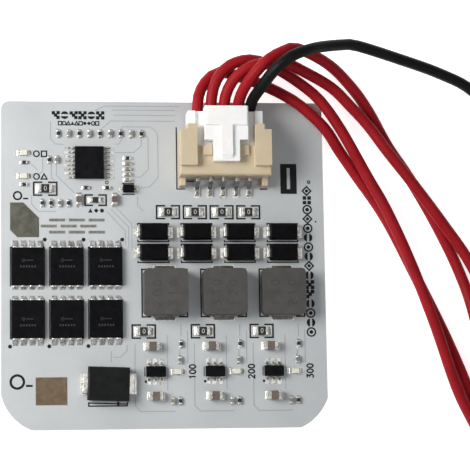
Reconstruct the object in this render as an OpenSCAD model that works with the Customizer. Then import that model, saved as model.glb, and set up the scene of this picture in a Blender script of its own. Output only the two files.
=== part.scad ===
// Battery management board for a four-cell pack, with its sensing harness plugged in.
// The origin is the middle of the board's underside: X to the right along the inductors,
// Y towards the harness plug, Z up from the surface that the board lies on. Millimetres.

/* [Board] */
// Width of the board along X
board_w = 49.5; // [40:0.5:60]
// Height of the board along Y
board_h = 50; // [40:0.5:60]
// Thickness of the laminate
board_t = 1.6; // [0.8:0.2:2.4]
// Radius of the upper left and the upper right corner
board_corner = [1.2, 0.6];
// How far the rounded corner at the lower right eats into each side
right_cut = [4.1, 4.4];
// How far the rounded corner at the lower left eats into each side
left_cut = [4.6, 5.3];
// Thickness of tin and solder on the copper lands
land_t = 0.05; // [0.03:0.01:0.15]

/* [Wire pads] */
// Gap between the battery pad and the tinned strips beside it, and the pad's lower edge
cell_pad_from = [0.27, 4.05];
// Width and length of the battery pad
cell_pad = [4.35, 5.3];
// Chamfers of the battery pad: upper right and lower left
cell_pad_cut = [2.35, 1.1];
// Distance of the pack pad from the clamp diode's land and from the board's lower edge
pack_pad_from = [1.92, 3.7];
// Width and length of the pack pad
pack_pad = [4.7, 4.15];
// Length and width of one tinned strip
strip_size = [2.42, 0.42];
// Pitch of the tinned strips along X and of their rows along Y
strip_pitch = [3, 0.93];
// Middle of the strips' lowest row
strip_mid = [-13.27, 4.82];
// How far the middle row stands to the left of the others
strip_shift = 1.25; // [0:0.05:1.5]

/* [Switching transistors] */
// Moulded body of one switching transistor: width, length and height
fet_body = [4.9, 5.75, 1.0];
// Distance between neighbouring transistors
fet_pitch = 5.87; // [5.2:0.05:7]
// Middle transistor of the upper row
fet_mid = [-14.88, -0.42];
// Distance between the two rows
fet_rows = 7.97; // [7:0.1:9]
// Pitch of the leads
fet_lead_pitch = 1.27; // [1:0.01:1.5]
// Reach of the solder past the body at the long side and at the short side
fet_reach = [1.1, 0.65];

/* [Controller chip] */
// Moulded body of the controller: width, length and height
chip_body = [4.4, 5.0, 1.0];
// Middle of the controller
chip_at = [-11.35, 15.45];
// Pitch of its leads, eight on each side
chip_pitch = 0.65; // [0.5:0.01:0.8]
// Span over the lead tips
chip_span = 6.4; // [5.8:0.1:7]

/* [Inductors] */
// Body of one inductor: width, length and height
coil_body = [6.6, 7.0, 3.0];
// First inductor
coil_at = [0, -4.5];
// Distance between balancing channels
channel_pitch = 9; // [8:0.1:11]
// Width of an inductor's end clips
coil_clip_w = 3.3; // [2:0.1:5]

/* [Diodes] */
// Moulded body of a balancing diode: length, width and height
diode_body = [4.3, 2.5, 2.1];
// First balancing diode, upper left
diode_at = [-1.65, 4.75];
// Distance between diodes along X and between their two rows
diode_pitch = [6.63, 3.18];
// Moulded body of the clamp diode: length, width and height
clamp_body = [6.3, 5.1, 2.3];
// Middle of the clamp diode
clamp_at = [-8.68, -18.25];
// Small turn that the clamp diode was soldered with, degrees
clamp_turn = -2; // [-6:0.5:6]

/* [Header] */
// Header housing: width, depth and height
header_size = [13.8, 7.7, 6];
// Middle of the header along X, and its front face along Y
header_at = [9.1, 12.9];
// Height of the roof between the two guides, and the guides' width
header_roof = 4.9; // [4.5:0.1:5.4]
guide_w = 2.5; // [1.5:0.1:3]
// Anchor feet in front of the header: width, reach and height
foot_size = [0.9, 1.2, 2.2];
// Pitch of the contacts
pin_pitch = 2; // [1.5:0.1:2.5]
// Number of contacts
pin_count = 5; // [2:1:8]
// Section of a contact: width and thickness
pin_size = [0.64, 0.5];

/* [Plug] */
// Clearance between the plug and the header's cavity, each side
plug_gap = 0.1; // [0.05:0.05:0.3]
// How far the plug stands out behind the header
plug_out = 2.2; // [1:0.1:4]
// Latch on top of the plug: width, and height of its press pad over the plug's top
latch_size = [6.6, 2.4];
// Width of the latch tongue, and its height over the header's roof
tongue_w = 4.0; // [2:0.1:6]
tongue_h = 1.3; // [0.8:0.1:1.6]
// Width of the rib along the latch
rib_w = 1.8; // [1:0.1:2.5]

/* [Harness] */
// Outside diameter of one wire
wire_d = 1.75; // [1.2:0.05:1.8]
// Middle of the coil that the spare length lies in
coil_mid = [61.5, -40];
// Inner and outer radius of that coil
coil_r = [5.8, 12.4];
// Spacing of neighbouring turns
turn_pitch = 1.8; // [1.76:0.01:2]
// Thickness and width of the ties round the coil
tie_size = [0.35, 3];

/* [Hidden] */
e = 0.01;
z0 = board_t + land_t;              // what the parts stand on
hw = board_w / 2;
hh = board_h / 2;
pin_z = 2.7;                        // contact axis over the board
pins = [for (i = [0 : pin_count - 1]) (i - (pin_count - 1) / 2) * pin_pitch];
wall_y = 1.85;                      // front wall of the header
cavity = [11.6, 3.4];               // plug cavity: width and height
cavity_z = 1.0;                     // floor of the header
guide_y = 1.35;                     // the guides start behind the front edge
window_w = header_size[0] - 2 * guide_w;
window_y = 4.5;                     // the roof is open behind this line
catch = [1.4, 1.5, 0.45];           // catches for the latch: width, length and height
latch_y = 5.2;                      // front of the latch's wide plate
press_y = 7.4;                      // front of the raised press pad on it
press_out = 0.45;                   // the latch stands out this far behind the plug
foot_in = 0.12;                     // feet stand this far in from the housing's sides
plug_w = cavity[0] - 2 * plug_gap;
plug_h = cavity[1] - 2 * plug_gap;
plug_z = cavity_z + plug_gap;
plug_y0 = wall_y + plug_gap;
plug_y1 = header_size[1] + plug_out;
bore = 1.1;                         // square passage for a crimped terminal
pin_end = 6.0;                      // contacts end here inside the plug

chip_row_pitch = 1.585;
channels = [for (k = [0 : 2]) k * channel_pitch];
// Chip resistors with dark tops, 1.0 by 0.5: X, Y and turn
small_res = concat(
    [for (i = [0 : 2 : 8]) [-16 + i * chip_row_pitch, 19.98, 90]],
    [[-17.4, 15.9, 90], [-18.5, 9.24, 90], [-17.17, 9.24, 90], [-14.5, 9.24, 90]],
    [[-21.2, 15.5, 0], [-21.2, 12.1, 0], [-5.46, 16.2, 0]],
    [[-11.82, 11.62, 0], [-8.57, 11.62, 0]],
    [for (c = channels) [c + 2.42, -12.27, 90]],
    [for (c = channels) [c + 2.2, -20.87, 90]]);
// Chip capacitors, 1.0 by 0.5
small_cap = concat(
    [for (i = [1 : 2 : 7]) [-16 + i * chip_row_pitch, 19.98, 90]],
    [[-16.25, 15.9, 90], [-15.83, 9.24, 90]],
    [for (i = [1 : 4]) [-5.46, 16.2 - 0.84 * i, 0]],
    [for (c = channels) [c + 2.2, -14.68, 90]],
    [for (c = channels) [c + 1.1, -20.87, 90]]);
mid_cap = [[-12.93, 9.77, 90], [-7.51, 9.77, 90]];
big_cap = concat([for (c = channels) [c - 1.95, -12.6, 0]],
    [for (c = channels) [c - 1.5, -20.1, 0]]);
jumpers = concat([[-18.03, 11.47, 0]],
    [for (i = [0 : 3]) [0.65 + 4.12 * i, 7.9, 0]],
    [for (c = channels) [c - 3.24, -10.34, 0]]);
sensor = [[-10.39, 9.73, 0]];
lamps = concat([[-21.3, 16.95, 0], [-21.3, 13.4, 0]],
    [for (c = channels) [c + 1.85, -16.45, 0]]);
drivers = [for (c = channels) [c - 1.55, -16.43, 0]];
signal_diode = [-5.4, 11.47];
res_size = [1.0, 0.5, 0.35];
cap_size = [1.0, 0.5, 0.5];
mid_size = [1.6, 0.8, 0.8];
big_size = [2.0, 1.25, 1.2];
jumper_size = [2.0, 1.25, 0.55];
sensor_size = [1.6, 0.8, 0.5];
lamp_size = [1.6, 0.8, 0.55];
lamp_base_t = 0.25;
// Length of the plated end of each kind
res_cap = 0.24;
cap_cap = 0.26;
lamp_cap = 0.28;
mid_cap_end = 0.35;
jumper_cap = 0.4;
big_cap_end = 0.45;
driver_body = [2.9, 1.6, 1.1];
driver_pitch = 0.95;
signal_body = [1.7, 1.25, 0.95];
// Pairs of lands: gap between the two, span over both, and width
small_land = [0.5, 1.45, 0.56];
mid_land = [0.8, 2.4, 0.9];
big_land = [1.0, 2.7, 1.35];
jumper_land = [1.0, 3.1, 1.4];
sensor_land = [0.8, 2.7, 0.9];
lamp_land = [0.8, 2.5, 0.9];
signal_land = [1.9, 3.1, 0.6];
diode_land = [2.9, 6.0, 1.65];
clamp_land = [5.0, 8.5, 3.1];
coil_land = [5.4, 8.4, 3.4];
// Left edges of the two pads for the pack's leads
cell_pad_x = strip_mid[0] - strip_shift - strip_pitch[0] - strip_size[0] / 2
    - cell_pad_from[0] - cell_pad[0];
pack_pad_x = clamp_at[0] - clamp_land[1] / 2 - pack_pad_from[0] - pack_pad[0];
// Single lands: length and width
chip_land = [1.3, 0.36];
driver_land = [0.95, 0.6];
pin_land = [1.9, 0.9];
pin_land_y = -2.85;
toe_y = -2.5;                       // contacts end here on their lands

// Harness routes from the plug to the coil: the points were laid by hand
entry_z = [for (k = [0 : 4]) tie_size[0] + wire_d / 2 + 0.05 + k * turn_pitch];
entry = [coil_mid[0] - 11.5, coil_mid[1] + 7];
plug_back = header_at[1] + plug_y1;
wire_z = board_t + pin_z;
function from(i) = [header_at[0] + pins[i], plug_back, wire_z];
function to(k) = [entry[0], entry[1], entry_z[k]];
route_1 = concat([from(0)], [[5.3, 25.4, 4.1], [6.4, 27.7, 3.7], [8.7, 29.4, 3.3],
    [12.7, 28.5, 3.1], [16.4, 27.1, 2.9], [18.9, 25.9, 2.75], [21.4, 24.3, 2.65],
    [25, 20.9, 2.55], [27.5, 17.5, 1.3], [30, 13.9, 0.92], [34.6, 7, 0.92],
    [39.6, -3.1, 0.92], [43.6, -11.6, 0.92], [47, -20, 0.92], [49.1, -26.5, 1.0]], [to(0)]);
route_2 = concat([from(1)], [[7.3, 25.4, 4.7], [8, 27.8, 5.2], [10, 30, 5.6],
    [13.1, 30.9, 5.6], [16, 30.3, 5.2], [18.2, 29.3, 4.6], [21.1, 27.6, 3.9],
    [24.2, 25.1, 3.4], [27.4, 20.6, 3.2], [31.6, 13.2, 2.6], [34.4, 8, 2.8],
    [37.9, 0, 2.8], [41.5, -9.6, 2.6], [44.9, -19.8, 2.2], [48.3, -27.4, 2.9]], [to(1)]);
route_3 = concat([from(2)], [[9.3, 25.2, 5.2], [10.3, 27.4, 6.2], [12.1, 29, 7],
    [14.4, 29.9, 7.3], [18.4, 30.2, 6.5], [21, 29.4, 5.5], [26, 27.1, 3.6],
    [29.2, 24.2, 2.8], [31.8, 21.4, 2.6], [34.8, 17.2, 2.8], [38.5, 12.4, 2.8],
    [42.9, 6.4, 2.7], [47.6, -0.6, 2.5], [51, -9, 2.6], [51.6, -20, 3.9],
    [50.4, -29.5, 4.85]], [to(2)]);
route_4 = concat([from(3)], [[11.4, 24.6, 5.4], [12, 26.2, 6.8], [13.3, 28, 8.5],
    [15.5, 30.2, 9.4], [17.9, 31.6, 8.9], [20.2, 32.2, 7.9], [25.4, 30.5, 4.8],
    [29.4, 27.4, 2.4], [32.2, 23.9, 1.2], [35.2, 18.4, 0.92], [38.6, 13.2, 0.92],
    [42.6, 6, 0.92], [46, -1.4, 0.92], [47.8, -8, 2], [48.8, -18, 5.2],
    [49.6, -28.5, 6.6]], [to(3)]);
route_5 = concat([from(4)], [[13.4, 24.6, 5.4], [14.5, 26.2, 7.7], [16.2, 28.3, 10.4],
    [18.7, 30.3, 11.2], [21.3, 31.4, 10.6], [23.4, 32.2, 9.2], [27.4, 33.1, 6.9],
    [29.8, 33.2, 5.9], [37, 31.7, 3.4], [43.8, 29.8, 1.7], [49, 27.2, 1.1],
    [53.6, 21.4, 1.05], [55.2, 11, 1.4], [54.4, -5, 4], [52.2, -20, 7.4],
    [50.3, -29, 8.4]], [to(4)]);

// Arc from a to b that bulges outwards by s, walked anticlockwise
function bulge(a, b, s, n) =
    let (c = norm(b - a), r = c * c / (8 * s) + s / 2, d = (b - a) / c,
        m = (a + b) / 2 - [d[1], -d[0]] * (r - s),
        a0 = atan2(a[1] - m[1], a[0] - m[0]), half = asin(c / 2 / r))
    [for (i = [0 : n]) m + r * [cos(a0 + 2 * half * i / n), sin(a0 + 2 * half * i / n)]];
function rounded(w, d, r, n) =
    [for (q = [0 : 3]) for (i = [0 : n])
        let (a = q * 90 + i * 90 / n, sx = (q == 0 || q == 3) ? 1 : -1, sy = q < 2 ? 1 : -1)
        [sx * (w / 2 - r) + r * cos(a), sy * (d / 2 - r) + r * sin(a)]];
board_outline = concat(
    bulge([hw - right_cut[0], -hh], [hw, -hh + right_cut[1]], 0.6, 10),
    [for (i = [0 : 4]) [hw, hh] + board_corner[1] * [cos(22.5 * i) - 1, sin(22.5 * i) - 1]],
    [for (i = [0 : 4]) [-hw, hh] + board_corner[0] * [1 - sin(22.5 * i), cos(22.5 * i) - 1]],
    bulge([-hw, -hh + left_cut[1]], [-hw + left_cut[0], -hh], 0.85, 10));

// A solid of rectangular rings [width, depth, z] from the bottom up
module stack(rings) {
    n = len(rings);
    polyhedron(
        points = [for (r = rings) for (q = [[-1, -1], [1, -1], [1, 1], [-1, 1]])
            [q[0] * r[0] / 2, q[1] * r[1] / 2, r[2]]],
        faces = concat([[0, 1, 2, 3]],
            [for (k = [0 : n - 2]) for (i = [0 : 3])
                [4 * k + i, 4 * k + 4 + i, 4 * k + 4 + (i + 1) % 4, 4 * k + (i + 1) % 4]],
            [[4 * n - 1, 4 * n - 2, 4 * n - 3, 4 * n - 4]]));
}

// A moulded body with drafted sides and a narrow upright band where its leads come out
module moulded(b, draft, band) {
    stack([[b[0] - draft, b[1] - draft, 0], [b[0], b[1], band[0]], [b[0], b[1], band[1]],
        [b[0] - 2 * draft, b[1] - 2 * draft, b[2]]]);
}

// A lead that leaves a body at u = 0, steps down and ends in a foot, w wide
module gull(exit, drop, reach, t, w) {
    rotate([90, 0, 0]) translate([0, 0, -w / 2]) linear_extrude(w)
        polygon([[0, exit - t], [drop - t, exit - t], [drop, 0], [reach, 0], [reach, t],
            [drop + 0.6 * t, t], [drop - 0.4 * t, exit], [0, exit]]);
}

// A strap that leaves a diode's end, drops to the board and folds back under the body
module strap(exit, out, back, t, w) {
    rotate([90, 0, 0]) translate([0, 0, -w / 2]) linear_extrude(w)
        polygon([[0, exit - t], [out - t, exit - t], [out - t, t], [-back, t], [-back, 0],
            [out, 0], [out, exit - 0.5 * t], [out - 0.5 * t, exit], [0, exit]]);
}

// A solder fillet from the foot of a lead outwards, w wide
module fillet(from_u, reach, high, w) {
    rotate([90, 0, 0]) translate([0, 0, -w / 2]) linear_extrude(w)
        polygon([[from_u, 0], [reach, 0], [reach, land_t], [reach - 0.15, land_t + 0.08],
            [0.25, high], [0.2, land_t], [from_u, land_t]]);
}

module at(list, z) {
    for (p = list) translate([p[0], p[1], z]) rotate([0, 0, p[2]]) children();
}
module part_middle(s, cap) {
    translate([-s[0] / 2 + cap, -s[1] / 2, 0]) cube([s[0] - 2 * cap, s[1], s[2]]);
}
module part_ends(s, cap) {
    for (m = [0, 1]) mirror([m, 0, 0])
        translate([s[0] / 2 - cap, -s[1] / 2, 0]) cube([cap, s[1], s[2]]);
}
module part_lands(land) {
    for (m = [0, 1]) mirror([m, 0, 0])
        translate([land[0] / 2, -land[2] / 2, 0]) cube([(land[1] - land[0]) / 2, land[2], land_t]);
}
module tube(path) {
    n = len(path);
    polyhedron(
        points = [for (i = [0 : n - 1])
            let (d = i == 0 ? [0, 1, 0] : i == n - 1 ? [0, -1, 0] : path[i + 1] - path[i - 1],
                t = d / norm(d), c = cross(t, [0, 0, 1]), u = c / norm(c), v = cross(u, t))
            for (k = [0 : 7]) path[i]
                + wire_d / 2 * (cos(45 * k + 22.5) * u + sin(45 * k + 22.5) * v)],
        faces = concat([[for (k = [0 : 7]) 7 - k]], [for (i = [0 : n - 2]) for (k = [0 : 7])
                each [[8 * i + k, 8 * i + (k + 1) % 8, 8 * i + 8 + k],
                    [8 * i + (k + 1) % 8, 8 * i + 8 + (k + 1) % 8, 8 * i + 8 + k]]],
            [[for (k = [0 : 7]) 8 * (n - 1) + k]]));
}

// ---- the board and its tinned copper ----
module circuit_board() {
    color("white") linear_extrude(board_t) polygon(board_outline);
}
module cell_pad_tin() {
    p = cell_pad;
    c = cell_pad_cut;
    color("gray") translate([cell_pad_x, cell_pad_from[1], board_t])
        linear_extrude(land_t) polygon([[c[1], 0], [p[0], 0], [p[0], p[1] - c[0]],
            [p[0] - c[0], p[1]], [0, p[1]], [0, c[1]]]);
}
module pack_pad_tin() {
    color("gray") translate([pack_pad_x, -hh + pack_pad_from[1], board_t])
        cube([pack_pad[0], pack_pad[1], land_t]);
}
module tinned_strips() {
    color("gray") for (row = [0 : 2]) for (i = [-1 : 1])
        translate([strip_mid[0] + i * strip_pitch[0] - (row == 1 ? strip_shift : 0) - strip_size[0] / 2,
            strip_mid[1] + row * strip_pitch[1] - strip_size[1] / 2, board_t])
            cube([strip_size[0], strip_size[1], land_t]);
}
module part_pads() {
    color("silver") {
        at(small_res, board_t) part_lands(small_land);
        at(small_cap, board_t) part_lands(small_land);
        at(mid_cap, board_t) part_lands(mid_land);
        at(big_cap, board_t) part_lands(big_land);
        at(jumpers, board_t) part_lands(jumper_land);
        at(sensor, board_t) part_lands(sensor_land);
        at(lamps, board_t) part_lands(lamp_land);
        translate([chip_at[0], chip_at[1], board_t]) for (m = [0, 1]) mirror([m, 0, 0])
            for (i = [0 : 7]) translate([chip_span / 2 + chip_land[0] / 2 - 0.7,
                (i - 3.5) * chip_pitch, land_t / 2]) cube([chip_land[0], chip_land[1], land_t], true);
        at(drivers, board_t) for (m = [0, 1]) mirror([0, m, 0]) for (i = [-1 : 1])
            translate([driver_pitch * i, 1 + driver_land[0] / 2, land_t / 2])
                cube([driver_land[1], driver_land[0], land_t], true);
        translate([signal_diode[0], signal_diode[1], board_t]) part_lands(signal_land);
        for (r = [0, 1]) for (i = [0 : 3])
            translate([diode_at[0] + i * diode_pitch[0], diode_at[1] - r * diode_pitch[1],
                board_t]) part_lands(diode_land);
        translate([clamp_at[0], clamp_at[1], board_t]) part_lands(clamp_land);
        for (c = channels) translate([coil_at[0] + c, coil_at[1], board_t])
            rotate([0, 0, 90]) part_lands(coil_land);
        translate([header_at[0], header_at[1], board_t]) for (x = pins)
            translate([x - pin_land[1] / 2, pin_land_y, 0]) cube([pin_land[1], pin_land[0], land_t]);
    }
}
// Solder under and in front of the switching transistors' leads
module fet_solder() {
    color("silver") each_fet(board_t) {
        translate([0, fet_body[1] / 2, 0]) for (i = [-1.5 : 1.5])
            translate([i * fet_lead_pitch, 0, 0]) rotate([0, 0, 90])
                fillet(-0.5, fet_reach[0], 0.42, 0.74);
        translate([0, -fet_body[1] / 2, 0]) for (i = [-1.5 : 1.5])
            translate([i * fet_lead_pitch, 0, 0]) rotate([0, 0, -90])
                fillet(-0.5, fet_reach[1], 0.36, 0.74);
        translate([-2.1, -1.9, 0]) cube([4.2, 3.7, land_t]);
    }
}

// ---- switching transistors ----
module each_fet(z) {
    for (r = [0, 1]) for (i = [-1 : 1])
        translate([fet_mid[0] + i * fet_pitch, fet_mid[1] - r * fet_rows, z])
            rotate([0, 0, 180 * r]) children();
}
module fet(r, i) {
    color("black") translate([fet_mid[0] + i * fet_pitch, fet_mid[1] - r * fet_rows, z0])
        rotate([0, 0, 180 * r]) difference() {
            moulded(fet_body, 0.12, [0.02, 0.3]);
            // shallow moulding mark near the first lead
            translate([fet_body[0] / 2 - 0.95, fet_body[1] / 2 - 1.0, fet_body[2] - 0.06])
                cylinder(h = 1, d = 0.7, $fn = 24);
        }
}
module fet_1() { fet(0, -1); }
module fet_2() { fet(0, 0); }
module fet_3() { fet(0, 1); }
module fet_4() { fet(1, -1); }
module fet_5() { fet(1, 0); }
module fet_6() { fet(1, 1); }
module fet_leads() {
    color("silver") each_fet(z0) for (m = [0, 1]) mirror([0, m, 0]) for (i = [-1.5 : 1.5])
        translate([i * fet_lead_pitch - 0.2, fet_body[1] / 2, 0.02]) cube([0.4, 0.2, 0.26]);
}

// ---- controller ----
module controller() {
    color("black") translate([chip_at[0], chip_at[1], z0 + 0.1]) difference() {
        moulded([chip_body[0], chip_body[1], chip_body[2] - 0.1], 0.12, [0.36, 0.5]);
        translate([0, -chip_body[1] / 2, chip_body[2] - 0.16]) cylinder(h = 1, d = 1.1, $fn = 32);
    }
}
module controller_leads() {
    color("silver") translate([chip_at[0], chip_at[1], z0]) for (s = [0, 180])
        rotate([0, 0, s]) for (i = [0 : 7])
            translate([chip_body[0] / 2, (i - 3.5) * chip_pitch, 0])
                gull(0.6, 0.42, (chip_span - chip_body[0]) / 2, 0.14, 0.24);
}

// ---- inductors ----
module coil_part(k) {
    color("dimgray") translate([coil_at[0] + channels[k], coil_at[1], z0 + 0.12]) difference() {
        linear_extrude(coil_body[2] - 0.12) polygon(rounded(coil_body[0], coil_body[1], 0.7, 5));
        // the end clips lie in shallow slots
        for (m = [0, 1]) mirror([0, m, 0])
            translate([-coil_clip_w / 2, coil_body[1] / 2 - 0.12, -e])
                cube([coil_clip_w, 1, 1.2 + e]);
    }
}
module inductor_1() { coil_part(0); }
module inductor_2() { coil_part(1); }
module inductor_3() { coil_part(2); }
module inductor_clips() {
    color("silver") for (c = channels) translate([coil_at[0] + c, coil_at[1], z0])
        for (m = [0, 1]) mirror([0, m, 0]) translate([0, coil_body[1] / 2 - 0.12, 0])
            rotate([0, 0, 90]) rotate([90, 0, 0]) translate([0, 0, -coil_clip_w / 2])
                linear_extrude(coil_clip_w) polygon([[-1.5, 0], [0.27, 0], [0.27, 1.1],
                    [0.17, 1.2], [0, 1.2], [0, 0.12], [-1.5, 0.12]]);
}

// ---- balancing diodes ----
module diode(r, i) {
    color("black") translate([diode_at[0] + i * diode_pitch[0], diode_at[1] - r * diode_pitch[1],
        z0 + 0.16]) moulded([diode_body[0], diode_body[1], diode_body[2] - 0.16], 0.2, [0.86, 1.06]);
}
module diode_1() { diode(0, 0); }
module diode_2() { diode(0, 1); }
module diode_3() { diode(0, 2); }
module diode_4() { diode(0, 3); }
module diode_5() { diode(1, 0); }
module diode_6() { diode(1, 1); }
module diode_7() { diode(1, 2); }
module diode_8() { diode(1, 3); }
module diode_straps() {
    color("silver") for (r = [0, 1]) for (i = [0 : 3])
        translate([diode_at[0] + i * diode_pitch[0], diode_at[1] - r * diode_pitch[1], z0])
            for (m = [0, 1]) mirror([m, 0, 0]) translate([diode_body[0] / 2, 0, 0])
                strap(1.22, 0.42, 0.6, 0.16, 1.4);
}
module clamp_diode() {
    color("black") translate([clamp_at[0], clamp_at[1], z0 + 0.2]) rotate([0, 0, clamp_turn])
        moulded([clamp_body[0], clamp_body[1], clamp_body[2] - 0.2], 0.22, [0.85, 1.1]);
}
module clamp_straps() {
    color("silver") translate([clamp_at[0], clamp_at[1], z0]) rotate([0, 0, clamp_turn])
        for (m = [0, 1]) mirror([m, 0, 0]) translate([clamp_body[0] / 2, 0, 0])
            strap(1.3, 0.8, 0.6, 0.2, 2.95);
}

// ---- chip parts ----
module resistors() { color("black") at(small_res, z0) part_middle(res_size, res_cap); }
module resistor_ends() { color("silver") at(small_res, z0) part_ends(res_size, res_cap); }
module ceramic_chips() { color("tan") at(small_cap, z0) part_middle(cap_size, cap_cap); }
module ceramic_chip_ends() { color("silver") at(small_cap, z0) part_ends(cap_size, cap_cap); }
module storage_chips() {
    color("tan") {
        at(mid_cap, z0) part_middle(mid_size, mid_cap_end);
        at(big_cap, z0) part_middle(big_size, big_cap_end);
    }
}
module storage_chip_ends() {
    color("silver") {
        at(mid_cap, z0) part_ends(mid_size, mid_cap_end);
        at(big_cap, z0) part_ends(big_size, big_cap_end);
    }
}
module zero_links() { color("black") at(jumpers, z0) part_middle(jumper_size, jumper_cap); }
module zero_link_ends() { color("silver") at(jumpers, z0) part_ends(jumper_size, jumper_cap); }
module thermistor() { color("black") at(sensor, z0) part_middle(sensor_size, mid_cap_end); }
module thermistor_ends() { color("silver") at(sensor, z0) part_ends(sensor_size, mid_cap_end); }
module lamp_bases() {
    color("white") at(lamps, z0) part_middle([lamp_size[0], lamp_size[1], lamp_base_t], lamp_cap);
}
module lamp_ends() {
    color("silver") at(lamps, z0) part_ends([lamp_size[0], lamp_size[1], lamp_base_t], lamp_cap);
}
module lamp_lenses() {
    color("lightyellow") at(lamps, z0 + lamp_base_t)
        stack([[1.1, 0.8, 0], [1.0, 0.74, lamp_size[2] - lamp_base_t]]);
}

// ---- small moulded parts ----
module driver(k) {
    color("black") at([drivers[k]], z0 + 0.1)
        moulded([driver_body[0], driver_body[1], driver_body[2] - 0.1], 0.1, [0.42, 0.57]);
}
module driver_1() { driver(0); }
module driver_2() { driver(1); }
module driver_3() { driver(2); }
module driver_leads() {
    color("silver") at(drivers, z0) for (s = [0, 180]) rotate([0, 0, s]) for (i = [-1 : 1])
        translate([driver_pitch * i, driver_body[1] / 2, 0]) rotate([0, 0, 90])
            gull(0.67, 0.3, 0.62, 0.15, 0.4);
}
module small_diode() {
    color("black") translate([signal_diode[0], signal_diode[1], z0 + 0.08])
        moulded([signal_body[0], signal_body[1], signal_body[2] - 0.08], 0.1, [0.3, 0.42]);
}
module small_diode_leads() {
    color("silver") translate([signal_diode[0], signal_diode[1], z0]) for (s = [0, 180])
        rotate([0, 0, s]) translate([signal_body[0] / 2, 0, 0]) gull(0.5, 0.26, 0.45, 0.12, 0.32);
}

// ---- header and its contacts ----
module in_header() {
    translate([header_at[0], header_at[1], board_t]) children();
}
module header_housing() {
    w = header_size[0];
    d = header_size[1];
    h = header_size[2];
    roof_z = cavity_z + cavity[1];
    color("wheat") in_header() difference() {
        union() {
            // base and roof in one, with a bevelled front edge over the contacts
            translate([w / 2, 0, 0]) rotate([0, -90, 0]) linear_extrude(w)
                polygon([[0, 0], [header_roof - 0.25, 0], [header_roof, 0.25],
                    [header_roof, d - 0.8], [0, d - 0.8]]);
            // a guide at each side, set in at its back
            for (m = [0, 1]) mirror([m, 0, 0]) {
                translate([window_w / 2, guide_y, 0]) cube([guide_w, d - 0.8 - guide_y, h]);
                translate([window_w / 2, d - 1, 0]) cube([guide_w - 1, 1, h]);
                translate([window_w / 2 + guide_w - foot_in - foot_size[0], -foot_size[1], 0])
                    cube([foot_size[0], foot_size[1] + 0.1, foot_size[2]]);
                translate([tongue_w / 2 + 0.1, window_y - catch[1], 0])
                    cube([catch[0], catch[1], header_roof + catch[2]]);
            }
            translate([-window_w / 2, d - 1, 0]) cube([window_w, 1, cavity_z]);
        }
        translate([-cavity[0] / 2, wall_y, cavity_z]) cube([cavity[0], d, cavity[1]]);
        translate([-window_w / 2, window_y, roof_z - e]) cube([window_w, d, h]);
        for (x = pins) translate([x - pin_size[0] / 2, -1, pin_z - pin_size[1] / 2])
            cube([pin_size[0], wall_y + 2, pin_size[1]]);
    }
}
module header_contacts() {
    t = pin_size[1];
    color("silver") in_header() for (x = pins) translate([x, 0, 0]) rotate([90, 0, -90])
        translate([0, 0, -pin_size[0] / 2]) linear_extrude(pin_size[0])
            polygon([[-pin_end, pin_z - t / 2], [0.35, pin_z - t / 2], [1.15, land_t],
                [-toe_y, land_t], [-toe_y, land_t + 0.8 * t], [1.45, land_t + 0.85 * t],
                [0.7, pin_z + t / 2], [-pin_end, pin_z + t / 2]]);
}

// ---- plug ----
module plug_housing() {
    top = plug_z + plug_h;
    latch_w = latch_size[0];
    press_top = top + latch_size[1];
    plate_top = header_roof + 0.08 + tongue_h;
    back = plug_y1 + press_out;
    color("whitesmoke") in_header() difference() {
        union() {
            translate([-plug_w / 2, plug_y0, plug_z]) cube([plug_w, plug_y1 - plug_y0, plug_h]);
            // the latch: a wide plate and the tongue in front of it, flush on top
            translate([-latch_w / 2, latch_y, top - 0.3])
                cube([latch_w, back - latch_y, plate_top - top + 0.3]);
            translate([-tongue_w / 2, plug_y0, plate_top - tongue_h])
                cube([tongue_w, latch_y - plug_y0 + e, tongue_h]);
            // press pad at its back, with bevelled edges, and a rib with a ramp at its front
            translate([0, press_y, 0]) rotate([90, 0, 180]) linear_extrude(back - press_y)
                polygon([[-latch_w / 2, plate_top - e], [latch_w / 2, plate_top - e],
                    [latch_w / 2, press_top - 0.2], [latch_w / 2 - 0.2, press_top],
                    [-latch_w / 2 + 0.2, press_top], [-latch_w / 2, press_top - 0.2]]);
            translate([-rib_w / 2, 0, 0]) rotate([90, 0, 90]) linear_extrude(rib_w)
                polygon([[plug_y0 + 0.3, plate_top - e], [press_y + e, plate_top - e],
                    [press_y + e, press_top], [plug_y0 + 1, press_top]]);
            // shoulders at both sides behind the header
            for (m = [0, 1]) mirror([m, 0, 0])
                translate([plug_w / 2 - 1.15, header_size[1] + 0.1, top - e])
                    cube([1.15, plug_out - 0.1, 0.55]);
        }
        for (x = pins) translate([x - bore / 2, 0, pin_z - bore / 2]) cube([bore, 20, bore]);
    }
}
module plug_terminals() {
    color("gold") in_header() for (x = pins) difference() {
        translate([x - bore / 2, plug_y0 + 0.3, pin_z - bore / 2])
            cube([bore, plug_y1 - plug_y0 - 0.3, bore]);
        translate([x - pin_size[0] / 2, 0, pin_z - pin_size[1] / 2])
            cube([pin_size[0], pin_end, pin_size[1]]);
    }
}

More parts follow.
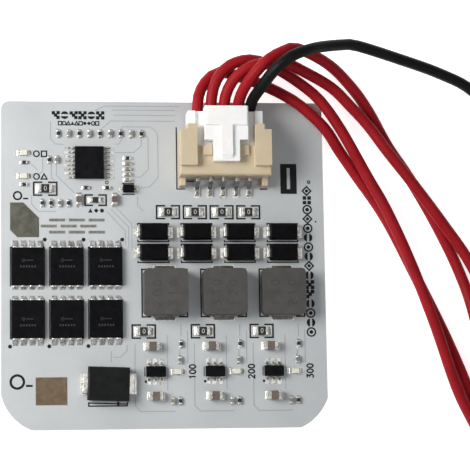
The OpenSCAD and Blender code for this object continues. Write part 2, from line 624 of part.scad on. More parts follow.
// ---- harness ----
module wire_1() { color("red") tube(route_1); }
module wire_2() { color("red") tube(route_2); }
module wire_3() { color("red") tube(route_3); }
module wire_4() { color("red") tube(route_4); }
module wire_5() { color("black") tube(route_5); }
coil_low = tie_size[0];
coil_top = coil_low + 5 * turn_pitch + 0.05;
module coil_bundle() {
    color("firebrick") union() {
        translate([coil_mid[0], coil_mid[1], 0]) rotate_extrude($fn = 64)
            polygon([[coil_r[0], coil_low], [coil_r[1], coil_low], [coil_r[1], coil_top],
                [coil_r[0], coil_top]]);
        // the five wires come in one over another
        translate([entry[0] - wire_d / 2 - 0.02, coil_mid[1], coil_low])
            cube([wire_d + 0.04, entry[1] - coil_mid[1], coil_top - coil_low]);
    }
}
module coil_ties() {
    t = tie_size[0];
    a = tie_size[1] / coil_r[1] * 57.3;
    color("black") translate([coil_mid[0], coil_mid[1], 0]) for (s = [40, 250])
        rotate([0, 0, s]) rotate_extrude(angle = a, $fn = 64) difference() {
            translate([coil_r[0] - t, 0]) square([coil_r[1] - coil_r[0] + 2 * t, coil_top + t]);
            translate([coil_r[0], coil_low]) square([coil_r[1] - coil_r[0], coil_top - coil_low]);
        }
}

circuit_board();
cell_pad_tin();
pack_pad_tin();
tinned_strips();
part_pads();
fet_solder();
fet_1();
fet_2();
fet_3();
fet_4();
fet_5();
fet_6();
fet_leads();
controller();
controller_leads();
inductor_1();
inductor_2();
inductor_3();
inductor_clips();
diode_1();
diode_2();
diode_3();
diode_4();
diode_5();
diode_6();
diode_7();
diode_8();
diode_straps();
clamp_diode();
clamp_straps();
resistors();
resistor_ends();
ceramic_chips();
ceramic_chip_ends();
storage_chips();
storage_chip_ends();
zero_links();
zero_link_ends();
thermistor();
thermistor_ends();
lamp_bases();
lamp_ends();
lamp_lenses();
driver_1();
driver_2();
driver_3();
driver_leads();
small_diode();
small_diode_leads();
header_housing();
header_contacts();
plug_housing();
plug_terminals();
wire_1();
wire_2();
wire_3();
wire_4();
wire_5();
coil_bundle();
coil_ties();
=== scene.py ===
import math
import random

import bmesh
import bpy
from mathutils import Matrix, Vector


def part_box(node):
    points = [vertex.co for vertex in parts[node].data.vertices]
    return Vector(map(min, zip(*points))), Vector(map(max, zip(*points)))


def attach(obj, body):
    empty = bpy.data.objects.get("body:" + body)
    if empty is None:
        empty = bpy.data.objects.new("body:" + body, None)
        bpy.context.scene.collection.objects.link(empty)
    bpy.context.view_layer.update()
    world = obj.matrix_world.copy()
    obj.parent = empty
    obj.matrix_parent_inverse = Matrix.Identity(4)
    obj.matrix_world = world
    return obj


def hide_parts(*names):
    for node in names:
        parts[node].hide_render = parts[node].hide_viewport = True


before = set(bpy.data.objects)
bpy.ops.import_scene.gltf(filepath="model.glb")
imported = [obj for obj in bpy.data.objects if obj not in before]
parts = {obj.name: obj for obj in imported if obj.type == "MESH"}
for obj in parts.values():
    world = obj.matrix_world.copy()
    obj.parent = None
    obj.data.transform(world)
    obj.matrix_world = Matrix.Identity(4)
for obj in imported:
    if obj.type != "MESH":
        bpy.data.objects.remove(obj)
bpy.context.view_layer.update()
partCounts = {"fet": 6, "diode": 8, "driver": 3, "inductor": 3}
fets, diodes, drivers, inductors = ([f"{kind}_{k + 1}" for k in range(n)] for kind, n in partCounts.items())
mm = 0.001


# the camera looks down on the board from a little to the lower left
cameraSettings = {
    "place": (-26.4, -32.7, 289.7),  # mm
    "tilt": (7.522, -6.422, -0.825),  # degrees
    "lens": 146.5,
    "sensor": 36,
    "shift": (0.06, -0.01),
    "clip": (0.005, 5),  # m
}


def makeCamera(s):
    data = bpy.data.cameras.new("benchCamera")
    camera = bpy.data.objects.new("benchCamera", data)
    bpy.context.collection.objects.link(camera)
    camera.location = Vector(s["place"]) * mm
    camera.rotation_euler = [math.radians(a) for a in s["tilt"]]
    data.lens = s["lens"]
    data.sensor_width = s["sensor"]
    data.shift_x, data.shift_y = s["shift"]
    data.clip_start, data.clip_end = s["clip"]
    bpy.context.scene.camera = camera


makeCamera(cameraSettings)
print("camera ready")


# shapes are made in millimetres
def newObject(name, data):
    thing = bpy.data.objects.new(name, data)
    bpy.context.collection.objects.link(thing)
    return thing


def finishMesh(name, bm, material, smoothAngle=None):
    bmesh.ops.recalc_face_normals(bm, faces=bm.faces)
    mesh = bpy.data.meshes.new(name)
    bm.to_mesh(mesh)
    bm.free()
    mesh.transform(Matrix.Scale(mm, 4))
    thing = newObject(name, mesh)
    mesh.materials.append(material)
    if smoothAngle:
        mesh.shade_smooth()
        mesh.set_sharp_from_angle(angle=math.radians(smoothAngle))
    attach(thing, "root")


def addPrism(bm, outline, z0, z1):
    low = [bm.verts.new((x, y, z0)) for x, y in outline]
    high = [bm.verts.new((x, y, z1)) for x, y in outline]
    n = len(outline)
    bm.faces.new(low[::-1])
    bm.faces.new(high)
    for i in range(n):
        j = (i + 1) % n
        bm.faces.new((low[i], low[j], high[j], high[i]))


def turned(point, angle, centre=(0, 0)):
    c, s = math.cos(math.radians(angle)), math.sin(math.radians(angle))
    return centre[0] + c * point[0] - s * point[1], centre[1] + s * point[0] + c * point[1]


def addStroke(bm, points, width, z0, z1, closed=False):
    n = len(points)
    count = n if closed else n - 1
    flat = [Vector((p[0], p[1])) for p in points]
    sides = []
    for i in range(n):
        before = flat[i] - flat[i - 1] if closed or i else flat[1] - flat[0]
        after = flat[(i + 1) % n] - flat[i] if closed or i < n - 1 else flat[-1] - flat[-2]
        a, b = before.normalized(), after.normalized()
        across = Vector((-a.y - b.y, a.x + b.x))
        across = across.normalized() if across.length > 1e-6 else Vector((-a.y, a.x))
        reach = width / 2 / max(0.5, across.dot(Vector((-a.y, a.x))))
        sides.append((flat[i] + across * reach, flat[i] - across * reach))
    rings = []
    for left, right in sides:
        rings.append([bm.verts.new((*p, z)) for p, z in ((left, z0), (right, z0), (right, z1), (left, z1))])
    for i in range(count):
        a, b = rings[i], rings[(i + 1) % n]
        for k in range(4):
            bm.faces.new((a[k], a[(k + 1) % 4], b[(k + 1) % 4], b[k]))
    if not closed:
        bm.faces.new(rings[0][::-1])
        bm.faces.new(rings[-1])


def arcPoints(x, y, rx, ry=None, start=0, end=360, n=24):
    ry = ry or rx
    last = n if end - start < 360 else n - 1
    return [(x + rx * math.cos(math.radians(start + (end - start) * i / n)),
             y + ry * math.sin(math.radians(start + (end - start) * i / n))) for i in range(last + 1)]


# five wires run from the plug to a tied coil
harness = {
    "wireDiameter": 1.75,
    "wireLength": 250,
    "tipLength": 4,  # stripped and tinned
    "tipDiameter": 0.9,
    "coilMiddle": (61.5, -40),
    "entryY": -33,
    "straightY": (-34.7, -36.4, -38.2),  # points between the entry and the first turn
    "firstAngle": 180,  # the turns start at the coil's left
    "turnStep": 6,  # degrees
    "turnRadius": 11.5,
    "turnPitch": 1.8,
    "lowestWire": 1.275,
}
wireZ = [harness["lowestWire"] + harness["turnPitch"] * k for k in range(5)]
entryX = harness["coilMiddle"][0] - harness["turnRadius"]
routes = [
    [(5.1, 22.8, 4.3), (5.3, 25.4, 4.1), (6.4, 27.7, 3.7), (8.7, 29.4, 3.3), (12.7, 28.5, 3.1),
     (16.4, 27.1, 2.9), (18.9, 25.9, 2.75), (21.4, 24.3, 2.65), (25, 20.9, 2.55), (27.5, 17.5, 1.3),
     (30, 13.9, 0.92), (34.6, 7, 0.92), (39.6, -3.1, 0.92), (43.6, -11.6, 0.92), (47, -20, 0.92),
     (49.1, -26.5, 1.0)],
    [(7.1, 22.8, 4.3), (7.3, 25.4, 4.7), (8, 27.8, 5.2), (10, 30, 5.6), (13.1, 30.9, 5.6),
     (16, 30.3, 5.2), (18.2, 29.3, 4.6), (21.1, 27.6, 3.9), (24.2, 25.1, 3.4), (27.4, 20.6, 3.2),
     (31.6, 13.2, 2.6), (34.4, 8, 2.8), (37.9, 0, 2.8), (41.5, -9.6, 2.6), (44.9, -19.8, 2.2),
     (48.3, -27.4, 2.9)],
    [(9.1, 22.8, 4.3), (9.3, 25.2, 5.2), (10.3, 27.4, 6.2), (12.1, 29, 7), (14.4, 29.9, 7.3),
     (18.4, 30.2, 6.5), (21, 29.4, 5.5), (26, 27.1, 3.6), (29.2, 24.2, 2.8), (31.8, 21.4, 2.6),
     (34.8, 17.2, 2.8), (38.5, 12.4, 2.8), (42.9, 6.4, 2.7), (47.6, -0.6, 2.5), (51, -9, 2.6),
     (51.6, -20, 3.9), (50.4, -29.5, 4.85)],
    [(11.1, 22.8, 4.3), (11.4, 24.6, 5.4), (12, 26.2, 6.8), (13.3, 28, 8.5), (15.5, 30.2, 9.4),
     (17.9, 31.6, 8.9), (20.2, 32.2, 7.9), (25.4, 30.5, 4.8), (29.4, 27.4, 2.4), (32.2, 23.9, 1.2),
     (35.2, 18.4, 0.92), (38.6, 13.2, 0.92), (42.6, 6, 0.92), (46, -1.4, 0.92), (47.8, -8, 2),
     (48.8, -18, 5.2), (49.6, -28.5, 6.6)],
    [(13.1, 22.8, 4.3), (13.4, 24.6, 5.4), (14.5, 26.2, 7.7), (16.2, 28.3, 10.4), (18.7, 30.3, 11.2),
     (21.3, 31.4, 10.6), (23.4, 32.2, 9.2), (27.4, 33.1, 6.9), (29.8, 33.2, 5.9), (37, 31.7, 3.4),
     (43.8, 29.8, 1.7), (49, 27.2, 1.1), (53.6, 21.4, 1.05), (55.2, 11, 1.4), (54.4, -5, 4),
     (52.2, -20, 7.4), (50.3, -29, 8.4)],
]


def smoothed(points, step=1.2):
    ends = [2 * points[0] - points[1]] + points + [2 * points[-1] - points[-2]]
    line = []
    for a, b, c, d in zip(ends, ends[1:], ends[2:], ends[3:]):
        n = max(2, round((c - b).length / step))
        for i in range(n):
            t = i / n
            line.append(0.5 * (2 * b + (c - a) * t + (2 * a - 5 * b + 4 * c - d) * t * t
                               + (3 * b - a - 3 * c + d) * t ** 3))
    line.append(points[-1])
    return line


def lineLength(line):
    return sum((b - a).length for a, b in zip(line, line[1:]))


def coilTurns(k, spare, h=harness):
    cx, cy = h["coilMiddle"]
    line, angle, run = [], h["firstAngle"], 0
    last = Vector((entryX, cy, wireZ[k]))
    while run < spare:
        angle += h["turnStep"]
        r = h["turnRadius"] - h["turnPitch"] * (angle - h["firstAngle"]) / 360
        a = math.radians(angle)
        point = Vector((cx + r * math.cos(a), cy + r * math.sin(a), wireZ[k]))
        run += (point - last).length
        if run > spare:
            point = point + (last - point).normalized() * (run - spare)
        line.append(point)
        last = point
    return line


def makeWire(k, h=harness):
    entry = Vector((entryX, h["entryY"], wireZ[k]))
    line = smoothed([Vector(p) for p in routes[k]] + [entry])
    line += [Vector((entryX, y, wireZ[k])) for y in h["straightY"]]
    line.append(Vector((entryX, h["coilMiddle"][1], wireZ[k])))
    line += coilTurns(k, h["wireLength"] - h["tipLength"] - lineLength(line))
    for point in line:
        point.z = max(point.z, h["wireDiameter"] / 2)
    return line


def makeTube(name, line, diameter, resolution=5):
    curve = bpy.data.curves.new(name, "CURVE")
    curve.dimensions = "3D"
    curve.bevel_depth = 1  # each point's radius is the tube's own
    curve.bevel_resolution = resolution
    curve.use_fill_caps = True
    spline = curve.splines.new("POLY")
    spline.points.add(len(line) - 1)
    for point, place in zip(spline.points, line):
        point.co = (*(place * mm), 1)
        point.radius = diameter / 2 * mm
    spline.use_smooth = True
    return newObject(name, curve)


wireNames = ["redWire1", "redWire2", "redWire3", "redWire4", "blackWire"]
wires, wireTips = [], []
for k, name in enumerate(wireNames):
    line = makeWire(k)
    wire = makeTube(name, line, harness["wireDiameter"])
    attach(wire, "root")
    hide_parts(f"wire_{k + 1}")
    onward = (line[-1] - line[-2]).normalized()
    # the bare end starts a quarter of its length inside the insulation
    tipLine = [line[-1] + onward * i * harness["tipLength"] / 4 for i in range(-1, 5)]
    tip = makeTube(name + "Tip", tipLine, harness["tipDiameter"], 4)
    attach(tip, "root")
    wires.append(wire)
    wireTips.append(tip)
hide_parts("wire_5", "coil_bundle")
print("harness ready")


# surface effects that several finishes share
def newGroup(name, inputs, outputs):
    group = bpy.data.node_groups.new(name, "ShaderNodeTree")
    for label, value in inputs.items():
        socket = group.interface.new_socket(label, in_out="INPUT", socket_type="NodeSocketFloat")
        socket.default_value = value
    for label in outputs:
        group.interface.new_socket(label, in_out="OUTPUT", socket_type="NodeSocketFloat")
    return group, group.nodes.new("NodeGroupInput"), group.nodes.new("NodeGroupOutput")


def addMath(tree, operation, a, b, clamp=False):
    node = tree.nodes.new("ShaderNodeMath")
    node.operation = operation
    node.use_clamp = clamp
    for socket, value in zip(node.inputs, (a, b)):
        if hasattr(value, "is_output"):
            tree.links.new(value, socket)
        else:
            socket.default_value = value
    return node.outputs[0]


def addNoise(tree, perMm, detail, roughness=0.55, distortion=0):
    node = tree.nodes.new("ShaderNodeTexNoise")
    node.inputs["Detail"].default_value = detail
    node.inputs["Roughness"].default_value = roughness
    node.inputs["Distortion"].default_value = distortion
    tree.links.new(tree.nodes.new("ShaderNodeTexCoord").outputs["Object"], node.inputs["Vector"])
    tree.links.new(addMath(tree, "MULTIPLY", perMm, 1000), node.inputs["Scale"])
    return node.outputs[0]


def addRange(tree, value, low, high, newLow=0.0, newHigh=1.0):
    node = tree.nodes.new("ShaderNodeMapRange")
    tree.links.new(value, node.inputs["Value"])
    for label, number in (("From Min", low), ("From Max", high), ("To Min", newLow), ("To Max", newHigh)):
        node.inputs[label].default_value = number
    return node.outputs[0]


effects = {
    "cloudShare": 0.6, "grainShare": 0.4, "mottleRange": (0.35, 0.65),
    "tinShade": (0.3, 0.7), "tinSwirl": 1.2, "fineTimes": 3, "fineShare": 0.1,
    "patchPerMm": 0.35, "patchRange": (0.4, 0.62), "speckEdge": 0.04,
}


def makeMouldedGrain(s=effects):
    inputs = {"Grain per mm": 8, "Cloud per mm": 0.5}
    group, start, end = newGroup("mouldedGrain", inputs, ["Mottle", "Height"])
    cloud = addNoise(group, start.outputs["Cloud per mm"], 4, 0.6)
    grain = addNoise(group, start.outputs["Grain per mm"], 3, 0.65)
    both = addMath(group, "ADD", addMath(group, "MULTIPLY", cloud, s["cloudShare"]),
                   addMath(group, "MULTIPLY", grain, s["grainShare"]))
    group.links.new(addRange(group, both, *s["mottleRange"]), end.inputs["Mottle"])
    group.links.new(grain, end.inputs["Height"])
    return group


def makePouredTin(s=effects):
    group, start, end = newGroup("pouredTin", {"Ripple per mm": 1.5}, ["Shade", "Height"])
    ripple = addNoise(group, start.outputs["Ripple per mm"], 2, 0.45, s["tinSwirl"])
    fine = addNoise(group, addMath(group, "MULTIPLY", start.outputs["Ripple per mm"], s["fineTimes"]), 1, 0.4)
    group.links.new(addRange(group, ripple, *s["tinShade"]), end.inputs["Shade"])
    fine = addMath(group, "MULTIPLY", fine, s["fineShare"])
    group.links.new(addMath(group, "ADD", ripple, fine), end.inputs["Height"])
    return group


def makeSpecks(s=effects):
    group, start, end = newGroup("specks", {"Specks per mm": 2, "Size": 0.12}, ["Mask"])
    cells = group.nodes.new("ShaderNodeTexVoronoi")
    group.links.new(group.nodes.new("ShaderNodeTexCoord").outputs["Object"], cells.inputs["Vector"])
    group.links.new(addMath(group, "MULTIPLY", start.outputs["Specks per mm"], 1000), cells.inputs["Scale"])
    patchy = addRange(group, addNoise(group, s["patchPerMm"], 2), *s["patchRange"])
    reach = addMath(group, "MULTIPLY", start.outputs["Size"], patchy)
    inside = addMath(group, "SUBTRACT", reach, cells.outputs["Distance"])
    near = addMath(group, "DIVIDE", inside, s["speckEdge"], True)
    group.links.new(near, end.inputs["Mask"])
    return group


mouldedGrain, pouredTin, specks = makeMouldedGrain(), makePouredTin(), makeSpecks()


# finishes built on the shared effects
def addEffect(tree, group, values):
    node = tree.nodes.new("ShaderNodeGroup")
    node.node_tree = group
    for label, value in values.items():
        node.inputs[label].default_value = value
    return node.outputs


def addBlend(tree, factor, a, b):
    node = tree.nodes.new("ShaderNodeMix")
    node.data_type = "RGBA"
    tree.links.new(factor, node.inputs[0])
    for socket, value in ((node.inputs[6], a), (node.inputs[7], b)):
        if hasattr(value, "is_output"):
            tree.links.new(value, socket)
        else:
            socket.default_value = (*value, 1)
    return node.outputs[2]


def addBump(tree, shader, height, depth):
    bump = tree.nodes.new("ShaderNodeBump")
    bump.inputs["Strength"].default_value = 1
    bump.inputs["Distance"].default_value = depth * mm
    tree.links.new(height, bump.inputs["Height"])
    tree.links.new(bump.outputs["Normal"], shader.inputs["Normal"])


def startMaterial(name, fixed):
    material = bpy.data.materials.new(name)
    material.use_nodes = True
    shader = material.node_tree.nodes["Principled BSDF"]
    for label, value in fixed.items():
        shader.inputs[label].default_value = value
    return material, material.node_tree, shader


def makeMoulded(name, s):
    material, tree, shader = startMaterial(name, s.get("fixed", {}))
    grain = addEffect(tree, mouldedGrain, {"Grain per mm": s["grain"], "Cloud per mm": s["cloud"]})
    colour = addBlend(tree, grain["Mottle"], s["dark"], s["light"])
    if "speck" in s:
        dots = addEffect(tree, specks, {"Specks per mm": s["speckPerMm"], "Size": s["speckSize"]})
        colour = addBlend(tree, dots["Mask"], colour, s["speck"])
    tree.links.new(colour, shader.inputs["Base Color"])
    tree.links.new(addRange(tree, grain["Mottle"], 0, 1, *s["rough"]), shader.inputs["Roughness"])
    addBump(tree, shader, grain["Height"], s["depth"])
    return material


def makeTinned(name, s):
    material, tree, shader = startMaterial(name, {"Metallic": s["metal"]})
    tin = addEffect(tree, pouredTin, {"Ripple per mm": s["ripple"]})
    tree.links.new(addBlend(tree, tin["Shade"], s["dark"], s["light"]), shader.inputs["Base Color"])
    tree.links.new(addRange(tree, tin["Shade"], 0, 1, *s["rough"]), shader.inputs["Roughness"])
    addBump(tree, shader, tin["Height"], s["depth"])
    return material


def dress(material, *names):
    for name in names:
        parts[name].data.materials.clear()
        parts[name].data.materials.append(material)


rounding = {"weldReach": 0.0005, "angle": 30}  # mm, degrees


def soften(width, *names, segments=2, s=rounding):
    for name in names:
        weld = parts[name].modifiers.new("weld", "WELD")
        weld.merge_threshold = s["weldReach"] * mm
        bevel = parts[name].modifiers.new("soften", "BEVEL")
        bevel.width = width * mm
        bevel.segments = segments
        bevel.limit_method = "ANGLE"
        bevel.angle_limit = math.radians(s["angle"])
        bevel.harden_normals = False


def solidBoxes(name):
    bm = bmesh.new()
    bm.from_mesh(parts[name].data)
    bmesh.ops.remove_doubles(bm, verts=bm.verts, dist=1e-6)
    boxes, left = [], set(bm.verts)
    while left:
        group, edge = [], [left.pop()]
        while edge:
            vert = edge.pop()
            group.append(vert.co / mm)
            for other in (e.other_vert(vert) for e in vert.link_edges):
                if other in left:
                    left.remove(other)
                    edge.append(other)
        boxes.append((Vector(map(min, zip(*group))), Vector(map(max, zip(*group)))))
    bm.free()
    return sorted(boxes, key=lambda b: (round(b[0].x, 2), round(b[0].y, 2)))


# white mask over the tracks, laminate at the cut edge
boardLooks = {
    "mask": (0.535, 0.56, 0.575), "maskShade": (0.46, 0.48, 0.495),
    "laminate": (0.56, 0.50, 0.36), "laminateShade": 0.72,
    "edgeRough": 0.7, "faceRough": 0.36, "depth": 0.004, "edgeRound": 0.08,
    "faceTurn": (0.35, 0.75),  # from cut edge to masked face, by the normal's upright part
    "track": (0.355, 0.36, 0.39), "trackShade": 0.94,
    "trackWidth": 0.13, "trackSunk": 0.02, "trackProud": 0.012,
}
boardTop = 1.6


def makeBoardMaterial(s):
    material, tree, shader = startMaterial("whiteMask", {"IOR": 1.5})
    grain = addEffect(tree, mouldedGrain, {"Grain per mm": 5, "Cloud per mm": 0.09})
    fibres = addEffect(tree, mouldedGrain, {"Grain per mm": 9, "Cloud per mm": 2.5})
    face = tree.nodes.new("ShaderNodeNewGeometry")
    split = tree.nodes.new("ShaderNodeSeparateXYZ")
    tree.links.new(face.outputs["True Normal"], split.inputs[0])
    flat = addRange(tree, addMath(tree, "ABSOLUTE", split.outputs["Z"], 0), *s["faceTurn"])
    mask = addBlend(tree, grain["Mottle"], s["maskShade"], s["mask"])
    edge = addBlend(tree, fibres["Mottle"], [s["laminateShade"] * c for c in s["laminate"]], s["laminate"])
    tree.links.new(addBlend(tree, flat, edge, mask), shader.inputs["Base Color"])
    tree.links.new(addRange(tree, flat, 0, 1, s["edgeRough"], s["faceRough"]), shader.inputs["Roughness"])
    addBump(tree, shader, grain["Height"], s["depth"])
    return material


dress(makeBoardMaterial(boardLooks), "circuit_board")
soften(boardLooks["edgeRound"], "circuit_board")
tracks = [
    [(2.6, 24.3), (-9.0, 24.3), (-10.4, 23.6)],
    [(1.9, 23.7), (-7.8, 23.7)],
    [(1.9, 22.9), (-7.6, 22.9)],
    [(1.9, 22.0), (-8.0, 22.0), (-9.4, 20.8)],
    [(-6.5, 20.6), (-6.2, 21.1), (-2.0, 21.1), (-1.1, 20.5), (-0.8, 19.6), (-0.8, 13.3), (-2.1, 11.8),
     (-3.6, 11.6)],
    [(-2.8, 19.9), (-2.3, 19.4), (-2.3, 14.5), (-3.5, 13.3), (-4.5, 13.3)],
    [(-7.4, 18.4), (-6.8, 18.4), (-6.3, 19.2)],
    [(-7.4, 17.1), (-4.5, 17.1), (-3.4, 18.1), (-3.3, 19.2)],
    [(-17.2, 21.9), (-17.2, 19.2), (-16.5, 18.4), (-15.2, 18.3)],
    [(-18.4, 16.4), (-18.4, 14.2), (-19.3, 13.3)],
    [(-17.1, 15.2), (-17.1, 13.1), (-16.6, 12.6)],
    [(-16.3, 15.2), (-16.3, 13.5), (-13.6, 10.8)],
    [(-20.1, 15.2), (-19.1, 14.3)],
    [(-20.1, 10.4), (-20.1, 9.1), (-19.1, 8.0), (-16.4, 8.0)],
    [(-8.7, 8.0), (-5.9, 5.0), (-5.9, 2.9)],
    [(-8.1, 8.4), (-5.4, 5.6), (-5.4, 2.5)],
    [(-7.3, 8.6), (-4.9, 6.1), (-4.9, 2.0)],
    [(-4.0, 10.3), (-4.0, 8.9), (-3.1, 8.0)],
    [(-8.2, -13.3), (-8.2, -15.0)],
    [(-5.8, -12.3), (-5.8, -13.2), (-6.8, -14.2), (-7.9, -14.2)],
]
for step in (0, 9, 18):
    tracks += [
        [(step + 0.3, -10.9), (step + 0.3, -14.9), (step + 0.3, -19.2)],
        [(step + 3.4, -10.2), (step + 3.4, -15.2)],
        [(step + 2.4, -11.1), (step + 2.4, -9.2)],
        [(step + 2.2, -13.1), (step + 2.2, -13.9)],
        [(step - 4.6, -12.2), (step - 4.6, -21.6), (step - 3.8, -22.4), (step + 1.4, -22.4)],
    ]


def makeTracks(s):
    material = makeMoulded("trackUnderMask", {
        "dark": [s["trackShade"] * c for c in s["track"]], "light": s["track"], "grain": 5, "cloud": 0.3,
        "rough": (0.34, 0.42), "depth": 0.003, "fixed": {"IOR": 1.5}})
    bm = bmesh.new()
    for points in tracks:
        addStroke(bm, points, s["trackWidth"], boardTop - s["trackSunk"], boardTop + s["trackProud"])
    finishMesh("maskedTracks", bm, material)


makeTracks(boardLooks)
print("board ready")


# printed frames, outlines, dots and plain marks, and one painted shadow line under the clamp diode
printLooks = {
    # the ink colours also paint the shadow line under the clamp diode
    "ink": (0.004, 0.004, 0.005),
    "wornInk": (0.011, 0.011, 0.012),
    "speck": (0.2, 0.2, 0.21),  # mask showing through
    "thick": 0.02,
    "sunk": 0.01,
    "line": 0.22,
}
inkAndShadowMaterial = makeMoulded("blackInkAndShadowLine", {
    "dark": printLooks["ink"], "light": printLooks["wornInk"], "grain": 7, "cloud": 1.2, "rough": (0.5, 0.65),
    "depth": 0.003, "speck": printLooks["speck"], "speckPerMm": 6, "speckSize": 0.07,
    "fixed": {"Specular IOR Level": 0.25}})
whiteMark = makeMoulded("paleMark", {
    "dark": (0.5, 0.5, 0.5), "light": (0.68, 0.68, 0.68), "grain": 8, "cloud": 2, "rough": (0.5, 0.6),
    "depth": 0.003})
inkBottom = boardTop - printLooks["sunk"]
inkTop = boardTop + printLooks["thick"]


def inkStroke(bm, points, width=None, closed=False):
    addStroke(bm, points, width or printLooks["line"], inkBottom, inkTop, closed)


def inkPatch(bm, outline, x=0, y=0):
    addPrism(bm, [(x + px, y + py) for px, py in outline], inkBottom, inkTop)


def inkDisc(bm, x, y, r):
    inkPatch(bm, arcPoints(x, y, r, n=20))


def partBox(name):
    low, high = (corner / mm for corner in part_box(name))
    return low, high, (low.x + high.x) / 2, (low.y + high.y) / 2


outlines = {
    "frameLine": 0.24,
    "linkFrame": (3.5, 1.98, 0.86),  # width, height and middle gap
    "thermistorFrame": (3.2, 1.6, 0.8),
    "coilFrame": (6.9, 7.24, 4.2),
    "diodeLine": 0.19,
    "diodeFrame": (4.72, 2.8, 0.28),  # width, height and tick
    "transistorLine": 0.16,
    "transistorEdge": [(2.247, 3.05), (2.56, 2.9), (2.56, -3.0)],
    "transistorDot": (2.62, 4.1, 0.3),  # place and radius
    "driverDot": (-0.68, 0.2),  # below the corner, and radius
    "controllerRing": (0.49, -0.5, 0.22),  # from the lower right corner, and radius
    "controllerLine": 0.13,
}
edgeStrokes = {  # line, then points: which side in x and y (0 low, 1 high) and the distance from it
    "small_diode": [
        (0.18, [(0, 0, -0.1, -0.2), (1, 0, 0.1, -0.2)]),
        (0.18, [(0, 1, -0.1, 0.2), (1, 1, 0.1, 0.2)]),
    ],
    "driver": [
        (0.13, [(0, 0, -0.14, 0.1), (0, 1, -0.14, -0.1)]),
        (0.13, [(1, 0, 0.14, 0.1), (1, 1, 0.14, -0.1)]),
    ],
    "clamp_diode": [
        # not print: a dark slanted line hugging the body's lower edge, standing for the tilted body's dark
        # edge and its painted shadow
        (0.2, [(0, 0, 0.3, -0.14), (1, 0, -0.45, -0.34)]),
        (0.2, [(0, 0, 0.25, -0.02), (0, 0, 0.3, -0.6), (1, 0, -0.4, -0.6), (1, 0, -0.35, -0.02)]),
        (0.34, [(1, 0, -1.75, -0.6), (1, 0, -1.75, 0.05)]),  # cathode band
    ],
    "header_housing": [
        (0.18, [(0, 1, -0.14, 0.5), (0, 0, -0.14, -0.22), (0, 0, 1.16, -0.22)]),
        (0.22, [(1, 0, -1.16, -0.2), (1, 0, 0.04, -0.2)]),
        (0.2, [(0, 0, 1.36, 1.0), (0, 0, 2.56, 1.0)]),
    ],
}
headerBlock = {"window": (18.09, 10.77, 20.62, 15.43), "slot": (19.09, 11.52, 19.59, 14.8)}  # x0, y0, x1, y1


def drawEdges(bm, name, strokes):
    low, high, _, _ = partBox(name)
    for width, points in edgeStrokes[strokes]:
        inkStroke(bm, [((low, high)[i].x + dx, (low, high)[j].y + dy) for i, j, dx, dy in points], width)


def bracketPair(bm, x, y, size, line):
    w, h, gap = size
    for side in (-1, 1):
        inkStroke(bm, [(x + side * gap / 2, y + h / 2), (x + side * w / 2, y + h / 2),
                       (x + side * w / 2, y - h / 2), (x + side * gap / 2, y - h / 2)], line)


def frameChips(bm, s):
    for name, size in (("zero_links", s["linkFrame"]), ("thermistor", s["thermistorFrame"])):
        for low, high in solidBoxes(name):
            bracketPair(bm, (low.x + high.x) / 2, (low.y + high.y) / 2, size, s["frameLine"])
    for name in inductors:
        _, _, x, y = partBox(name)
        bracketPair(bm, x, y, s["coilFrame"], printLooks["line"])


def frameDiodes(bm, s):
    w, h, tick = s["diodeFrame"]
    for name in diodes:
        _, _, x, y = partBox(name)
        for side in (-1, 1):
            edge = y + side * h / 2
            inkStroke(bm, [(x - w / 2, edge - side * tick), (x - w / 2, edge),
                           (x + w / 2, edge), (x + w / 2, edge - side * tick)], s["diodeLine"])
    drawEdges(bm, "small_diode", "small_diode")


def frameTransistors(bm, s):
    dotX, dotY, radius = s["transistorDot"]
    for k, name in enumerate(fets):
        _, _, x, y = partBox(name)
        turn = 1 if k < 3 else -1  # the lower row is the other way up
        for side in (-1, 1):
            edge = [(x + side * px, y + turn * py) for px, py in s["transistorEdge"]]
            inkStroke(bm, edge, s["transistorLine"])
        inkDisc(bm, x + turn * dotX, y + turn * dotY, radius)


def frameControl(bm, s):
    for name in drivers:
        low, _, _, _ = partBox(name)
        inkDisc(bm, low.x, low.y + s["driverDot"][0], s["driverDot"][1])
        drawEdges(bm, name, "driver")
    low, high, _, _ = partBox("controller")
    x, y, radius = s["controllerRing"]
    inkStroke(bm, arcPoints(high.x + x, low.y + y, radius, n=20), s["controllerLine"], closed=True)
    drawEdges(bm, "clamp_diode", "clamp_diode")


def makeFrames(s=outlines):
    bm = bmesh.new()
    for draw in (frameChips, frameDiodes, frameTransistors, frameControl):
        draw(bm, s)
    finishMesh("printedOutlinesAndShadowLine", bm, inkAndShadowMaterial)


def makeHeaderPrint(s=headerBlock):
    bm = bmesh.new()
    drawEdges(bm, "header_housing", "header_housing")
    x0, y0, x1, y1 = s["window"]
    u0, v0, u1, v1 = s["slot"]
    for a, b, c, d in ((x0, y0, x1, v0), (x0, v1, x1, y1), (x0, v0, u0, v1), (u1, v0, x1, v1)):
        inkPatch(bm, [(a, b), (c, b), (c, d), (a, d)])
    finishMesh("printedHeaderMarks", bm, inkAndShadowMaterial)


